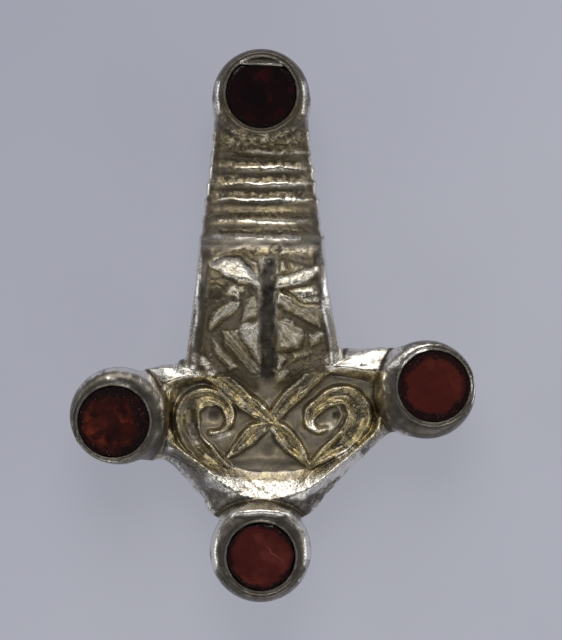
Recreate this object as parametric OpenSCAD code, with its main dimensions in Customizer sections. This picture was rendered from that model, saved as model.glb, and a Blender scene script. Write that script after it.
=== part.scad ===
// A small bow brooch, cast in silver and set with four garnets, lying face up.
// X runs across the brooch, +Y towards the foot, +Z up out of its face. Millimetres.
// The origin is on the surface that it lies on, under the middle of its outline.

/* [Back] */
// Height of the flat back above the surface that the brooch lies on
back_z = 4.2; // [4:0.1:5]
// Thickness of each lug that carries the pin
lug_t = 1.3; // [1:0.1:1.8]
// Clear width between the two lugs
lug_gap = 7.4; // [6:0.2:9]
// Radius of the pin's shaft
pin_r = 0.6; // [0.4:0.05:0.7]

/* [Head plate] */
// Thickness of the plate at its outer edge
edge_h = 0.8; // [0.5:0.1:1.1]
// Height of the sunk field above the back
field_h = 1.4; // [1:0.1:1.7]
// Height of the rim's crest above the back
rim_h = 2.7; // [2.3:0.1:3.2]
// Height of the scrolls and the saltire above the sunk field
relief_h = 1.0; // [0.6:0.1:1.4]

/* [Foot and bow] */
// Thickness of the foot without its ribs
foot_t = 2.1; // [1.7:0.1:2.6]
// Height of the foot's cross ribs
rib_h = 0.45; // [0.2:0.05:0.6]
// Rise of the bow's hollow underside above the back
bow_rise = 5.6; // [5:0.1:7]
// How far the strap's face is crowned across its width
crown = 0.45; // [0.2:0.05:0.8]
// Depth of the carved field on the bow
carve_h = 0.45; // [0.3:0.05:0.6]

/* [Settings] */
// Height of each setting's lip above the back
setting_h = 4.4; // [4:0.1:5]
// Width of the lip round each stone
lip_w = 0.5; // [0.3:0.05:0.7]
// Depth of each stone's table below the lip
stone_inset = 0.35; // [0.2:0.05:0.6]
// Thickness of each stone
stone_h = 1.9; // [1.4:0.1:2.3]

/* [Hidden] */
silver = "#b9b3a0";
garnet_red = "#6b1a1c";
pin_grey = "#8f8b82";
sink = 0.3;
gap = 0.06;

// The four settings. Each cone stands on a base circle, and its lip lies a little further out.
BASE_X = 0;
BASE_Y = 1;
BASE_R = 2;
LIP_X = 3;
LIP_Y = 4;
STONE_R = 5;
SETTINGS = [
    [-1.15, 22.70, 4.80, -1.15, 23.10, 3.50],
    [-15.35, -8.95, 4.80, -15.80, -9.50, 3.55],
    [15.30, -6.35, 4.85, 16.00, -6.00, 3.55],
    [-1.22, -22.45, 5.00, -1.17, -22.90, 3.40],
];
setting_edge_h = 1.6;
lip_slope = 0.45;

// The strap, from the foot's setting to the bow's root: where its edges run, and how wide
// the slope is on each of them.
STRAP_Y = 0;
LEFT = 1;
RIGHT = 2;
LEFT_SLOPE = 3;
RIGHT_SLOPE = 4;
STRAP = [
    [21.5, -5.7, 3.5, 0.15, 0.15],
    [17.5, -6.0, 3.7, 0.15, 0.15],
    [12.0, -6.7, 4.5, 0.20, 0.20],
    [9.6, -6.9, 4.6, 0.20, 0.20],
    [8.8, -7.2, 5.0, 0.25, 0.25],
    [4.0, -7.55, 5.4, 0.25, 0.35],
    [0.4, -8.05, 6.05, 0.40, 0.80],
    [-2.2, -8.45, 6.6, 0.60, 1.00],
    [-4.6, -8.7, 6.9, 0.60, 1.00],
    [-5.2, -5.9, 4.9, 0.40, 0.40],
    [-8.2, -1.9, 0.9, 0.20, 0.20],
];
strap_top = STRAP[0][STRAP_Y];
strap_end = STRAP[len(STRAP) - 1][STRAP_Y];
foot_end = 8.6;
foot_step = 0.4;
bow_step = 0.6;
bow_y = 3.7;
bow_half = 7.2;
face_half = 9.2;
face_rise = bow_rise + 0.5;
rib_half = 0.72;
RIBS = [18.6, 17.2, 15.75, 14.2, 12.5, 10.5, 8.9];
rib_side = 0.12;

// The field carved on the bow, its plain borders and the channel down its middle
field_top = 8.0;
field_ramp = 0.6;
left_border = 1.0;
right_border = 0.5;
border_round = 0.15;
border_round_w = 0.2;
field_wall = 0.25;
channel_x = -0.5;
channel_w = 1.5;
channel_top = 6.8;
channel_h = 0.35;
channel_wall = 0.15;

// Leaves on the bow, each from its stalk to its tip, and their shape: where each round of a
// leaf lies along it, and its share of the leaf's width
STALK_X = 0;
STALK_Y = 1;
TIP_X = 2;
TIP_Y = 3;
LEAF_W = 4;
LEAVES = [
    [-1.4, 4.2, -5.6, 6.5, 1.9],
    [0.4, 4.1, 4.0, 5.8, 1.7],
    [-1.5, 2.7, -5.7, 0.5, 1.6],
    [0.5, 2.9, 4.7, 0.2, 1.9],
    [-1.5, 0.3, -3.7, -1.9, 1.5],
    [0.5, 0.3, 3.0, -1.9, 1.6],
    [-1.5, -4.5, -5.0, -1.3, 1.7],
    [0.5, -4.9, 4.4, -2.6, 1.5],
];
ALONG = 0;
SHARE = 1;
LEAF_SHAPE = [[0.06, 0.25], [0.5, 1], [0.94, 0.45]];
leaf_top_r = 0.12;
leaf_rise = 0.9;

// The head plate's spokes, clockwise from the bow's right root: its outline, the crest of its
// rim and the edge of its sunk field. The rim dies out where rise is 0, and outside its crest
// it falls to the outline with the slope given last.
OUT_X = 0;
OUT_Y = 1;
CREST_X = 2;
CREST_Y = 3;
FIELD_X = 4;
FIELD_Y = 5;
RISE = 6;
SLOPE = 7;
PLATE = [
    [6.9, -2.3, 6.6, -3.4, 6.2, -4.7, 0.9, 0.5],
    [8.8, -2.35, 8.6, -3.2, 8.0, -4.8, 1, 0.5],
    [11.4, -2.2, 10.9, -3.4, 9.6, -5.2, 1, 0.5],
    [14.0, -2.8, 11.6, -4.8, 10.1, -6.2, 0.9, 0.6],
    [15.4, -6.4, 11.5, -7.1, 10.2, -7.5, 0.8, 1],
    [13.6, -10.6, 11.0, -9.4, 10.1, -9.3, 0.8, 1],
    [12.2, -10.55, 10.5, -10.3, 9.8, -10.2, 0.9, 1],
    [11.2, -10.9, 9.9, -10.9, 9.2, -10.8, 1, 1.1],
    [9.4, -12.6, 8.5, -12.1, 7.7, -11.6, 1, 1.2],
    [7.8, -14.1, 6.9, -13.5, 5.9, -12.5, 1, 1.2],
    [6.4, -15.6, 5.3, -14.9, 4.6, -13.3, 1, 1.2],
    [5.0, -17.1, 3.5, -16.2, 3.0, -14.0, 1, 1.2],
    [3.6, -18.7, 1.6, -17.1, 1.4, -14.4, 1, 1.2],
    [-1.2, -20.5, -0.5, -17.35, -0.5, -14.6, 1, 1.2],
    [-6.0, -18.8, -2.6, -17.1, -2.4, -14.4, 1, 1.2],
    [-6.9, -17.3, -4.4, -16.2, -3.8, -14.0, 1, 1.2],
    [-8.2, -15.8, -5.9, -14.9, -5.0, -13.4, 1, 1.2],
    [-9.4, -14.4, -7.4, -13.5, -6.4, -12.8, 1, 1.2],
    [-10.3, -13.65, -8.8, -12.6, -8.0, -12.0, 1, 1.2],
    [-11.2, -13.3, -9.9, -11.7, -9.2, -11.1, 0.9, 1.1],
    [-13.2, -13.0, -10.5, -10.4, -9.8, -10.1, 0.8, 1],
    [-15.4, -9.0, -10.7, -8.7, -9.9, -8.8, 0.8, 1],
    [-13.4, -4.9, -10.9, -6.6, -9.9, -7.2, 0.9, 0.9],
    [-11.2, -4.0, -10.5, -5.2, -9.5, -6.3, 1, 0.6],
    [-9.6, -3.75, -9.1, -4.7, -8.3, -5.9, 1, 0.5],
    [-8.7, -3.3, -7.9, -4.5, -7.4, -5.6, 0.8, 0.5],
    [-3.5, -3.2, -3.3, -4.4, -3.0, -5.2, 0, 0.6],
    [2.5, -3.2, 2.3, -4.2, 2.0, -5.0, 0, 0.6],
];
SALTIRE = [-0.45, -9.15];

// The saltire's four arms, each from its outer end to the crossing, and where its sections lie
// along it. It is narrow at its end, full from the middle on, and runs a little past the crossing.
END_X = 0;
END_Y = 1;
ARM_W = 2;
ARMS = [
    [-6.7, -4.4, 1.3],
    [5.7, -3.7, 1.4],
    [-4.7, -12.7, 1.6],
    [3.2, -13.2, 1.7],
];
ARM_PLACES = [0.02, 0.25, 0.5, 0.75, 1.06];
arm_tip = 0.35;
arm_full = 0.85;

// The scrolls: round an eye, each band's inner and outer radius at an angle from the side
// that faces the saltire.
ANGLE = 0;
INNER = 1;
OUTER = 2;
LEFT_EYE = [-5.45, -9.1];
RIGHT_EYE = [4.85, -8.9];
LEFT_SCROLL = [
    [-110, 0.90, 1.55], [-45, 1.00, 1.85], [0, 1.05, 2.00], [45, 1.10, 2.50], [90, 1.20, 3.10],
    [135, 1.30, 3.80], [180, 1.50, 4.35], [225, 2.00, 4.75], [250, 2.80, 4.80], [262, 3.50, 4.60],
];
RIGHT_SCROLL = [
    [-110, 0.95, 1.70], [-45, 1.10, 1.90], [0, 1.15, 1.85], [45, 1.20, 2.50], [90, 1.20, 3.15],
    [135, 1.35, 4.30], [180, 1.50, 4.80], [225, 2.10, 4.80], [250, 2.90, 4.60], [262, 3.40, 4.30],
];
scroll_step = 12;
trough_h = 0.3;
border_h = 0.1;

// The back: the lugs and the pin's head between them, and the catch under the foot
pin_x = -0.9;
lug_y = -13.6;
lug_r = 1.6;
axle_r = 0.7;
head_r = 1.25;
shaft_z = 1.3;
catch_y = 16.2;
catch_len = 5;
catch_wall = 0.8;
catch_in = 1.5;
catch_floor = 0.55;
catch_lip = 2.1;
shaft_end = 21.6;
taper = 10;
point_len = 1.6;
point_r = 0.3;
under_embed = 0.4;

// A column of a table, found between its rows by the table's first column
function column(table, key, at) = lookup(at, [for (row = table) [row[key[0]], row[key[1]]]]);
function strap_at(y, name) = column(STRAP, [STRAP_Y, name], y);
function bell(y, half) = abs(y - bow_y) < half ? pow(cos(90 * (y - bow_y) / half), 1.5) : 0;
function rib(y) = max([for (r = RIBS) abs(y - r) < rib_half ? pow(cos(90 * (y - r) / rib_half), 2) : 0]);
function under(y) =
    y < bow_y - bow_half ? back_z + under_embed : back_z + bow_rise * bell(y, bow_half);
function over(y) = back_z + foot_t + face_rise * bell(y, face_half) + rib_h * rib(y);
function ramp(a, b, t) = min(1, max(0, (t - a) / (b - a)));

// Height of the strap's face at a place across it, with its crown
function face(x, y, left, right) =
    over(y) - crown * pow((2 * x - left - right) / (right - left), 2);

// One cross-section of the strap, anticlockwise from the left of its back
function strap_section(y) =
    let (
        left = strap_at(y, LEFT) - rib_side * rib(y),
        right = strap_at(y, RIGHT) + rib_side * rib(y),
        low = under(y),
        face_left = left + strap_at(y, LEFT_SLOPE),
        face_right = right - strap_at(y, RIGHT_SLOPE),
        depth = carve_h * ramp(field_top, field_top - field_ramp, y),
        channel = channel_h * ramp(channel_top, channel_top - field_ramp, y),
        half = channel_w / 2,
        across = [
            [face_left, border_round],
            [face_left + border_round_w, 0],
            [face_left + left_border, 0],
            [face_left + left_border + field_wall, depth],
            [channel_x - half, depth],
            [channel_x - half + channel_wall, depth + channel],
            [channel_x + half - channel_wall, depth + channel],
            [channel_x + half, depth],
            [face_right - right_border - field_wall, depth],
            [face_right - right_border, 0],
            [face_right - border_round_w, 0],
            [face_right, border_round],
        ]
    )
    concat(
        [[right, y, low], [left, y, low], [left, y, low + edge_h]],
        [for (p = across) [p[0], y, face(p[0], y, left, right) - p[1]]],
        [[right, y, low + edge_h]]
    );

// Two triangles between ring i of n points and the next ring, from point j to the one after it
function side_pair(i, j, n) =
    let (a = i * n + j, b = i * n + (j + 1) % n)
    [[a, a + n, b], [b, a + n, b + n]];

// A solid through closed sections of the same number of points
module loft(sections) {
    n = len(sections[0]);
    last = len(sections) - 1;
    polyhedron(
        points = [for (s = sections) each s],
        faces = concat(
            [[for (j = [0:n - 1]) j]],
            [for (i = [0:last - 1], j = [0:n - 1]) each side_pair(i, j, n)],
            [[for (j = [n - 1:-1:0]) last * n + j]]
        ),
        convexity = 10
    );
}

// The ribbed foot and the arched bow
module strap() {
    bow = [for (y = [strap_end:bow_step:foot_end]) y];
    foot = [for (y = [foot_end + foot_step:foot_step:strap_top]) y];
    loft([for (y = concat(bow, foot)) strap_section(y)]);
}

// A leaf on the bow: a ridge that is highest in the middle
module leaf(row) {
    stalk = [row[STALK_X], row[STALK_Y]];
    tip = [row[TIP_X], row[TIP_Y]];
    hull()
        for (part = LEAF_SHAPE) {
            at = stalk + part[ALONG] * (tip - stalk);
            z = over(at[1]) - carve_h;
            tall = sink + crown + leaf_rise * carve_h * (0.5 + part[SHARE] / 2);
            translate([at[0], at[1], z - sink - crown])
                cylinder(h = tall, r1 = row[LEAF_W] * part[SHARE] / 2, r2 = leaf_top_r, $fn = 10);
        }
}

// A closed ring of the head plate's spokes, rounded by a Catmull-Rom spline
function spline(a, b, c, d, t) =
    0.5 * (2 * b + (c - a) * t + (2 * a - 5 * b + 4 * c - d) * t * t
        + (3 * b - a - 3 * c + d) * t * t * t);
function rounded(rows, steps) =
    let (n = len(rows))
    [for (i = [0:n - 1], s = [0:steps - 1])
        spline(rows[(i + n - 1) % n], rows[i], rows[(i + 1) % n], rows[(i + 2) % n], s / steps)];

// Heights of the rim's crest and of the plate's edge above the back, for one spoke
function crest_h(r) = field_h + (rim_h - field_h) * r[RISE];
function fall_w(r) = norm([r[OUT_X] - r[CREST_X], r[OUT_Y] - r[CREST_Y]]);
function outer_h(r) = max(edge_h, crest_h(r) - r[SLOPE] * fall_w(r));

// The head plate: a dished field inside a rim that slopes down to the outer edge
module head_plate() {
    rows = rounded(PLATE, 2);
    n = len(rows);
    rings = concat(
        [for (r = rows) [r[FIELD_X], r[FIELD_Y], back_z + field_h]],
        [for (r = rows) [r[CREST_X], r[CREST_Y], back_z + crest_h(r)]],
        [for (r = rows) [r[OUT_X], r[OUT_Y], back_z + outer_h(r)]],
        [for (r = rows) [r[OUT_X], r[OUT_Y], back_z]]
    );
    top = 4 * n;
    polyhedron(
        points = concat(rings, [concat(SALTIRE, back_z + field_h), concat(SALTIRE, back_z)]),
        faces = [for (j = [0:n - 1]) let (k = (j + 1) % n)
            each concat(
                [[top, j, k], [top + 1, 3 * n + k, 3 * n + j]],
                [for (i = [0:2]) each side_pair(i, j, n)]
            )],
        convexity = 10
    );
}

// One arm of the saltire: a leaf with raised edges and a trough between them
module arm(row) {
    end = [row[END_X], row[END_Y]];
    along = (SALTIRE - end) / norm(SALTIRE - end);
    side = [along[1], -along[0]];
    low = back_z + field_h - sink;
    high = back_z + field_h + relief_h;
    edge = high - border_h;
    loft([for (t = ARM_PLACES)
        let (
            at = end + t * (SALTIRE - end),
            w = row[ARM_W] / 2 * (arm_tip + (1 - arm_tip) * sin(180 * min(t, arm_full))),
            shape = [[-1.25, low], [-0.8, edge], [0, high - trough_h], [0.8, edge], [1.25, low]]
        )
        [for (p = shape) [at[0] + side[0] * w * p[0], at[1] + side[1] * w * p[0], p[1]]]]);
}

// One scroll. The hand is 1 on the left and -1 on the right.
module scroll(eye, table, hand) {
    low = back_z + field_h - sink;
    high = back_z + field_h + relief_h;
    edge = high - border_h;
    first = table[0][ANGLE];
    final = table[len(table) - 1][ANGLE];
    sections = [for (a = [first:scroll_step:final])
        let (
            inner = column(table, [ANGLE, INNER], a),
            outer = column(table, [ANGLE, OUTER], a),
            inside = [[inner - 0.15, low], [inner + 0.15, edge]],
            outside = [[outer - 0.2, edge], [outer + 0.1, low]],
            shape = concat(inside, [[(inner + outer) / 2, high - trough_h]], outside)
        )
        [for (p = shape) [eye[0] + hand * p[0] * cos(a), eye[1] + p[0] * sin(a), p[1]]]];
    loft(hand > 0 ? sections : [for (i = [len(sections) - 1:-1:0]) sections[i]]);
}

// A setting: a leaning cone with a rounded lip
module setting(row) {
    lip_r = row[STONE_R] + lip_w;
    hull() {
        translate([row[BASE_X], row[BASE_Y], back_z])
            cylinder(h = setting_edge_h, r = row[BASE_R], $fn = 48);
        translate([row[LIP_X], row[LIP_Y], back_z])
            cylinder(h = setting_h, r = lip_r - lip_w / 2, $fn = 48);
        translate([row[LIP_X], row[LIP_Y], back_z])
            cylinder(h = setting_h - lip_slope, r = lip_r, $fn = 48);
    }
}

// The hollow that a stone sits in
module seat(row) {
    floor_h = setting_h - stone_inset - stone_h;
    translate([row[LIP_X], row[LIP_Y], back_z + floor_h])
        cylinder(h = setting_h, r = row[STONE_R] + gap, $fn = 48);
}

// A lug behind the head plate, with the hole for the pin's axle
module lug(x) {
    translate([x, lug_y, lug_r])
        rotate([0, 90, 0])
            difference() {
                hull() {
                    cylinder(h = lug_t, r = lug_r, $fn = 32);
                    translate([-back_z + lug_r - sink, -lug_r, 0])
                        cube([sink, 2.4 * lug_r, lug_t]);
                }
                translate([0, 0, -1])
                    cylinder(h = lug_t + 2, r = axle_r + gap, $fn = 24);
            }
}

// The catch behind the foot: a wall that turns up into a hook
module catch() {
    x0 = pin_x - catch_in / 2 - catch_wall;
    x1 = pin_x + catch_in / 2;
    translate([0, catch_y + catch_len, 0])
        rotate([90, 0, 0])
            linear_extrude(catch_len)
                union() {
                    translate([x1, 0])
                        square([catch_wall, back_z + sink]);
                    translate([x0, 0])
                        square([catch_in + 2 * catch_wall, catch_floor]);
                    translate([x0, 0])
                        square([catch_wall, catch_lip]);
                }
}

// Everything that is cast in one piece
module brooch_body() {
    color(silver)
        difference() {
            union() {
                strap();
                for (row = LEAVES) leaf(row);
                head_plate();
                scroll(LEFT_EYE, LEFT_SCROLL, 1);
                scroll(RIGHT_EYE, RIGHT_SCROLL, -1);
                for (row = ARMS) arm(row);
                for (row = SETTINGS) setting(row);
                for (side = [-1, 1]) lug(pin_x + side * (lug_gap + lug_t) / 2 - lug_t / 2);
                catch();
            }
            for (row = SETTINGS) seat(row);
        }
}

// A garnet slab with a flat table and bevelled facets round it
module garnet(row, facets, bevel_w, bevel_h) {
    color(garnet_red)
        translate([row[LIP_X], row[LIP_Y], back_z + setting_h - stone_inset - stone_h]) {
            cylinder(h = stone_h - bevel_h, r = row[STONE_R], $fn = facets);
            translate([0, 0, stone_h - bevel_h])
                cylinder(h = bevel_h, r1 = row[STONE_R], r2 = row[STONE_R] - bevel_w, $fn = facets);
        }
}
module garnet_foot() { garnet(SETTINGS[0], 12, 0.5, 0.4); }
module garnet_left() { garnet(SETTINGS[1], 12, 0.9, 0.5); }
module garnet_right() { garnet(SETTINGS[2], 12, 0.6, 0.4); }
module garnet_head() { garnet(SETTINGS[3], 12, 0.4, 0.4); }

// The pin: its axle and head between the lugs, and the shaft that ends in the catch
module pin() {
    axle_l = lug_gap + 2 * lug_t;
    straight = shaft_end - point_len - taper - lug_y;
    color(pin_grey)
        union() {
            translate([pin_x - axle_l / 2, lug_y, lug_r])
                rotate([0, 90, 0])
                    cylinder(h = axle_l, r = axle_r, $fn = 32);
            translate([pin_x - lug_gap / 2 + gap, lug_y, lug_r])
                rotate([0, 90, 0])
                    cylinder(h = lug_gap - 2 * gap, r = head_r, $fn = 32);
            translate([pin_x, lug_y, shaft_z])
                rotate([-90, 0, 0]) {
                    cylinder(h = straight, r = pin_r, $fn = 32);
                    translate([0, 0, straight])
                        cylinder(h = taper, r1 = pin_r, r2 = point_r, $fn = 32);
                    translate([0, 0, straight + taper])
                        cylinder(h = point_len, r1 = point_r, r2 = 0.08, $fn = 32);
                }
        }
}

brooch_body();
garnet_foot();
garnet_left();
garnet_right();
garnet_head();
pin();
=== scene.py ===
"""The bow brooch's looks: worn silver-gilt casting, four garnets, pin, floor, light and camera."""

import math
from collections import namedtuple
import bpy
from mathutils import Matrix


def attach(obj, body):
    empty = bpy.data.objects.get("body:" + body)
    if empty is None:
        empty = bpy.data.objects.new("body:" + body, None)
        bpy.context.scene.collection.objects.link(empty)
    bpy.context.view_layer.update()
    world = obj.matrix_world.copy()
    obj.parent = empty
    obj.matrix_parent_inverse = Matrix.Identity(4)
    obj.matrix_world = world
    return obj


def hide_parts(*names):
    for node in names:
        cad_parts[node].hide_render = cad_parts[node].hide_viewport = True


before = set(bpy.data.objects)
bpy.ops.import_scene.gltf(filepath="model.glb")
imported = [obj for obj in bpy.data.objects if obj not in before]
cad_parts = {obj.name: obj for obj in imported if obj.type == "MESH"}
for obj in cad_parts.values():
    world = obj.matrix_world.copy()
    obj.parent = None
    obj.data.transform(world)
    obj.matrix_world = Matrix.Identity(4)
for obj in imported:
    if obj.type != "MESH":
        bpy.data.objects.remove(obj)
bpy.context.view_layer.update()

from types import SimpleNamespace

import bmesh
import bpy
import numpy as np
from mathutils import Vector
from mathutils.geometry import delaunay_2d_cdt

MM = 0.001

# Heights above the floor, in millimetres, as in the part's source
BACK = 4.2
FIELD = BACK + 1.35
CREST = BACK + 2.75
PLATE_EDGE = BACK + 0.8
FOOT_T = 2.1
BOW_RISE = 5.6
RIM_LOW = BACK + 2.9
SETTING_TOP = BACK + 4.4
STONE_TOP = SETTING_TOP - 0.35
STONE_H = 1.9
SEAT = STONE_TOP - STONE_H
LIP_W = 0.5
CARVED = 0.45
CHANNEL_DEPTH = 0.22

# The bow: its highest place, and how far its face and its underside reach from there
BOW_Y = 3.7
FACE_REACH = 9.2
ARCH_REACH = 7.2

# Places read off the photograph are in its pixels: 0.1 mm each, from the middle of the outline
PHOTO_W = 562
PHOTO_H = 640
PIXEL = 0.1
MIDDLE = np.array([272.75, 325.75])

# Settings: base circle x, y and radius, then the lip's middle x, y and the stone's radius
Setting = namedtuple("Setting", "base_x base_y base_r x y r")
SETTINGS = {
    "foot": Setting(-1.15, 22.70, 4.80, -1.15, 23.10, 3.50),
    "left": Setting(-15.35, -8.95, 4.80, -15.80, -9.50, 3.55),
    "right": Setting(15.30, -6.35, 4.85, 16.00, -6.00, 3.55),
    "head": Setting(-1.22, -22.45, 5.00, -1.17, -22.90, 3.40),
}

# The strap, upwards from the head plate: y, left edge, right edge, and each edge's slope width
STRAP = np.array([
    (-8.2, -1.9, 0.9, 0.20, 0.20),
    (-5.2, -5.9, 4.9, 0.40, 0.40),
    (-4.6, -8.7, 6.9, 0.55, 1.00),
    (-2.2, -8.45, 6.6, 0.50, 1.00),
    (0.4, -8.05, 6.05, 0.40, 0.80),
    (4.0, -7.55, 5.4, 0.25, 0.45),
    (8.8, -7.2, 5.0, 0.20, 0.30),
    (9.6, -6.9, 4.6, 0.20, 0.20),
    (12.0, -6.7, 4.5, 0.20, 0.20),
    (17.5, -6.0, 3.7, 0.15, 0.15),
    (21.5, -5.7, 3.5, 0.15, 0.15),
])
LEFT, RIGHT, LEFT_SLOPE, RIGHT_SLOPE = 1, 2, 3, 4
STRAP_LOW = -8.6
STRAP_HIGH = 22.5

# Ribs across the foot: y, rise, and how much painted shade lies below each
RIBS = [(18.6, .06, .2), (17.2, .34, .8), (15.7, .38, .9), (14.15, .44, 1.05), (12.55, .52, 1.2),
        (10.45, .48, 1.2), (8.85, .26, 1.0)]
FAINT_RIBS = (17.95, 16.45, 14.9, 13.3, 11.5, 9.7)

# The head plate's middle in millimetres, and its outline in pixels
PLATE_X = -.5
PLATE_Y = -9.2
PLATE_OUT = [
    (342, 349), (361, 349), (387, 348), (413, 354), (427, 390), (409, 432), (395, 431), (385, 435),
    (367, 452), (351, 467), (337, 482), (323, 497), (309, 513), (261, 531), (213, 514), (204, 499),
    (191, 484), (179, 470), (170, 462), (161, 459), (141, 456), (119, 416), (139, 375), (161, 366),
    (177, 364), (186, 359), (238, 358), (298, 358),
]
# The crest of its rim: x and y in pixels, how high it stands and how steeply it falls outside
CREST_AT = np.array([
    (339, 366, 1, .5), (361, 370, 1, .5), (379, 371, 1, .5), (385, 378, .8, .6), (388, 397, .55, 1),
    (383, 419, .6, 1), (378, 429, .8, 1), (370, 437, 1, 1.1), (357, 448, 1, 1.2), (341, 462, 1, 1.2),
    (325, 476, 1, 1.2), (307, 488, 1, 1.2), (289, 495, 1, 1.2), (268, 498, 1, 1.2), (246, 495, 1, 1.2),
    (229, 487, 1, 1.2), (214, 475, 1, 1.2), (199, 462, 1, 1.2), (185, 452, .9, 1.2), (173, 442, .7, 1.1),
    (168, 430, .6, 1), (166, 413, .6, 1), (166, 394, .7, .9), (168, 383, .9, .6), (182, 377, 1, .5),
    (194, 375, .8, .5), (240, 372, 0, .6), (296, 370, 0, .6),
])
# The edge of its sunk field, in pixels
FIELD_AT = [
    (335, 376), (353, 379), (367, 383), (373, 391), (373, 402), (371, 418), (367, 430), (360, 438),
    (347, 449), (330, 459), (313, 466), (297, 470), (283, 472), (268, 472), (252, 471), (238, 468),
    (225, 463), (211, 461), (198, 455), (185, 444), (180, 432), (178, 414), (178, 399), (182, 390),
    (191, 385), (199, 382), (243, 378), (293, 376),
]

# Its raised bands: middle line and half-widths in pixels, rise, hollow, and ridges (across, height)
BANDS = [
    ([(226, 466, 6), (209, 456, 11), (195, 440, 14), (188, 421, 14), (191, 405, 13), (203, 396, 10.5),
      (216, 397, 9), (226, 405, 8), (230, 416, 6.5), (227, 426, 5), (219, 431, 3.8), (211, 431, 3)],
     1.15, .55, [(.15, .10), (.45, .20), (.72, .26)]),
    ([(310, 466, 5), (322, 456, 8), (340, 444, 12), (355, 428, 14), (359, 411, 14), (350, 397, 11.5),
      (336, 395, 10), (322, 402, 9), (311, 412, 8), (310, 423, 6.5), (318, 430, 4.2), (326, 428, 3)],
     1.10, .50, [(.40, .10), (-.35, .08)]),
    ([(206, 368, 9), (224, 382, 10.5), (243, 399, 11), (259, 411, 9.5), (271, 421, 6)],
     1.10, .30, [(.35, .22), (-.30, .20)]),
    ([(335, 356, 9), (315, 374, 10), (297, 391, 10), (283, 405, 10), (272, 420, 7)],
     1.05, .32, [(.45, .16), (0, .14), (-.45, .16)]),
    ([(269, 424, 4.5), (256, 430, 9), (246, 440, 9.5), (235, 450, 6), (227, 457, 2)],
     1.10, .42, [(-.25, .16)]),
    ([(271, 425, 5), (281, 431, 9.5), (291, 444, 10.5), (301, 456, 7), (309, 466, 4)],
     1.10, .48, [(.10, .12)]),
]
# Raised lines: points in pixels, then half-width and height in millimetres
LINES = [
    ([(201, 409), (207, 405), (213, 406)], .12, .40),
    ([(329, 432), (337, 424), (342, 414), (338, 406), (330, 404)], .16, .45),
    ([(164, 388), (163, 410), (165, 432), (170, 447)], .28, .35),
    ([(170, 392), (169, 412), (171, 432)], .18, .25),
    ([(381, 372), (385, 392), (382, 412), (376, 428)], .28, .35),
    ([(234, 510.5), (262, 509), (290, 511)], .32, .52),
    ([(312, 432), (321, 435), (330, 431)], .75, .42),
    ([(211, 438), (220, 441), (228, 437)], .55, .32),
    ([(232, 459), (258, 457.5), (284, 459)], .14, .04),
    ([(266, 433), (271, 431)], .45, .25),
    ([(281, 309), (300, 317), (322, 328)], .12, .16),
    ([(277, 304), (279, 293), (290, 299)], .10, .12),
]
# Pits: middle in pixels, then radius and depth in millimetres
PITS = [
    ((214, 415), .60, .35),
    ((336, 415), .40, .30),
    ((258, 143), .22, .45),
    ((268, 450), .80, .15),
]
# Blades on the bow: corners, rise, way it faces, slope, angle and depth of its strokes, how bare, which
# also paints highlight
BLADES = [
    ([(214, 250), (224, 245), (250, 245), (241, 252), (226, 257), (213, 264)],
     .16, -80, .10, 20, .03, .0),
    ([(213, 267), (224, 257), (240, 258), (250, 268), (260, 284), (250, 283), (239, 282), (227, 277)],
     .40, 84, .10, 50, .012, 1.0),
    ([(251, 262), (258, 261), (259, 276)], .14, -40, .30, 78, .05, .0),
    ([(238, 286), (247, 284), (246, 292), (240, 293)], .14, 90, .30, 20, .06, .2),
    ([(228, 286), (236, 283), (241, 291), (239, 297), (228, 296)], .26, 80, .20, -40, .03, .35),
    ([(212, 325), (216, 312), (231, 299), (241, 301), (238, 309), (228, 317)],
     .34, 80, .30, 52, .06, .45),
    ([(244, 300), (257, 292), (257, 316), (243, 321)], .20, 110, .20, 60, .05, .2),
    ([(238, 329), (258, 319), (260, 345), (259, 360), (250, 350), (242, 340)],
     .30, 85, .30, -55, .05, .8),
    ([(223, 331), (237, 330), (242, 341), (252, 357), (262, 366), (261, 377), (249, 372), (237, 360),
      (225, 347)], .30, -110, .10, -50, .08, .1),
    ([(208, 333), (216, 336), (226, 353), (238, 367), (230, 371), (214, 355)],
     .18, 150, .10, -50, .04, .1),
    ([(278, 244), (316, 247), (315, 259), (298, 257), (279, 257)], .16, -60, .10, 10, .03, .15),
    ([(278, 261), (286, 260), (289, 271), (280, 273)], .22, 60, .20, 70, .06, .25),
    ([(289, 262), (313, 268), (300, 271), (290, 275)], .14, -85, .20, 62, .06, .0),
    ([(273, 289), (277, 276), (292, 274), (302, 269), (316, 267), (314, 277), (305, 283), (288, 287)],
     .40, 84, .10, 74, .022, 1.0),
    ([(286, 291), (302, 287), (314, 284), (321, 297), (319, 304), (303, 303)],
     .16, 80, .15, 0, .0, .55),
    ([(276, 303), (279, 293), (291, 297), (305, 305), (321, 307), (321, 328), (311, 323), (298, 316),
      (284, 309)], .38, -96, .05, -32, .06, .15),
    ([(276, 321), (283, 319), (293, 323), (304, 329), (304, 339), (299, 347), (288, 349), (277, 349)],
     .30, 75, .25, None, .07, .85),
    ([(308, 334), (321, 332), (320, 342), (311, 346)], .22, 84, .20, 20, .05, .7),
    ([(276, 353), (288, 351), (286, 361), (277, 372)], .24, 82, .30, -65, .06, .7),
    ([(290, 352), (310, 349), (318, 350), (309, 357), (293, 362)], .14, 82, .10, -65, .05, .2),
    ([(277, 372), (287, 367), (290, 372), (284, 379), (277, 380)], .30, 80, .40, 60, .08, .6),
]
# Where the spreading strokes start, from the blade's first corner, and how far apart they are
FAN_START = (-.5, .2)
FAN_SPREAD = 1.8
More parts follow.
